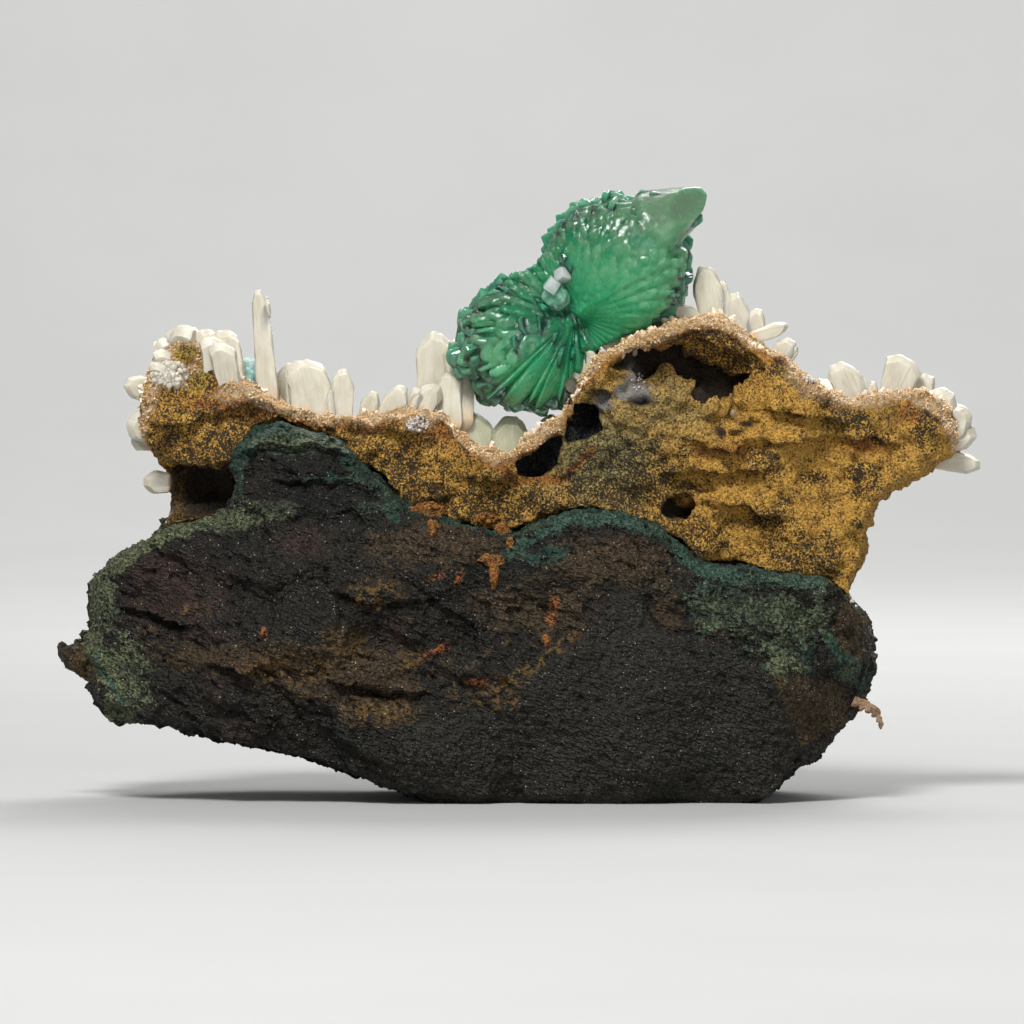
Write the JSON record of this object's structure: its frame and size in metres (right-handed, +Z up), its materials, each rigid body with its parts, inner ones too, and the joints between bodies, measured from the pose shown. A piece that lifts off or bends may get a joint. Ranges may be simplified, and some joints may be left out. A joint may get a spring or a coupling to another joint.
{
  "type": "apophyllite cluster",
  "caption": "Cabinet mineral specimen: green apophyllite double fan and white stilbite blades on an ochre crust over dark basalt, standing on its flat foot.",
  "frame": {"origin": "centre of the bounding box at its foot, on the surface that the specimen stands on", "axes": "+Z up, +X to the right seen from the broken front side, +Y away from the viewer"},
  "size_m": [0.1386, 0.0612, 0.0912],
  "materials": {
    "basalt": "matte",
    "ochre_crust": "matte",
    "stilbite": "satin",
    "apophyllite": "gloss"
  },
  "bodies": {
    "root": {"apophyllite_bowtie": "apophyllite", "apophyllite_small": "apophyllite", "basalt_matrix": "basalt", "stilbite_back_01": "stilbite", "stilbite_back_02": "stilbite", "stilbite_back_03": "stilbite", "stilbite_back_04": "stilbite", "stilbite_back_05": "stilbite", "stilbite_back_06": "stilbite", "stilbite_back_07": "stilbite", "stilbite_back_08": "stilbite", "stilbite_back_09": "stilbite", "stilbite_back_10": "stilbite", "stilbite_back_11": "stilbite", "stilbite_back_12": "stilbite", "stilbite_back_13": "stilbite", "stilbite_back_14": "stilbite", "stilbite_back_15": "stilbite", "stilbite_back_16": "stilbite", "stilbite_back_17": "stilbite", "stilbite_back_18": "stilbite", "stilbite_back_19": "stilbite", "stilbite_block": "stilbite", "stilbite_broad": "stilbite", "stilbite_end_middle": "stilbite", "stilbite_end_tongue": "stilbite", "stilbite_end_upper": "stilbite", "stilbite_glassy": "stilbite", "stilbite_hill_fan": "stilbite", "stilbite_hill_small": "stilbite", "stilbite_knob_side": "stilbite", "stilbite_knob_top": "stilbite", "stilbite_leaning": "stilbite", "stilbite_left_low": "stilbite", "stilbite_left_lump": "stilbite", "stilbite_left_tip": "stilbite", "stilbite_rear": "stilbite", "stilbite_right_back": "stilbite", "stilbite_right_spike": "stilbite", "stilbite_right_striated": "stilbite", "stilbite_right_wide": "stilbite", "stilbite_short": "stilbite", "stilbite_slope_blade": "stilbite", "stilbite_slope_fan": "stilbite", "stilbite_spike": "stilbite", "stilbite_tall": "stilbite", "stilbite_tongue": "stilbite", "stilbite_twin": "stilbite", "stilbite_upright": "stilbite", "stilbite_valley_large": "stilbite", "stilbite_valley_small": "stilbite", "stilbite_wedge": "stilbite", "zeolite_crust": "ochre_crust"}
  },
  "joints": []
}
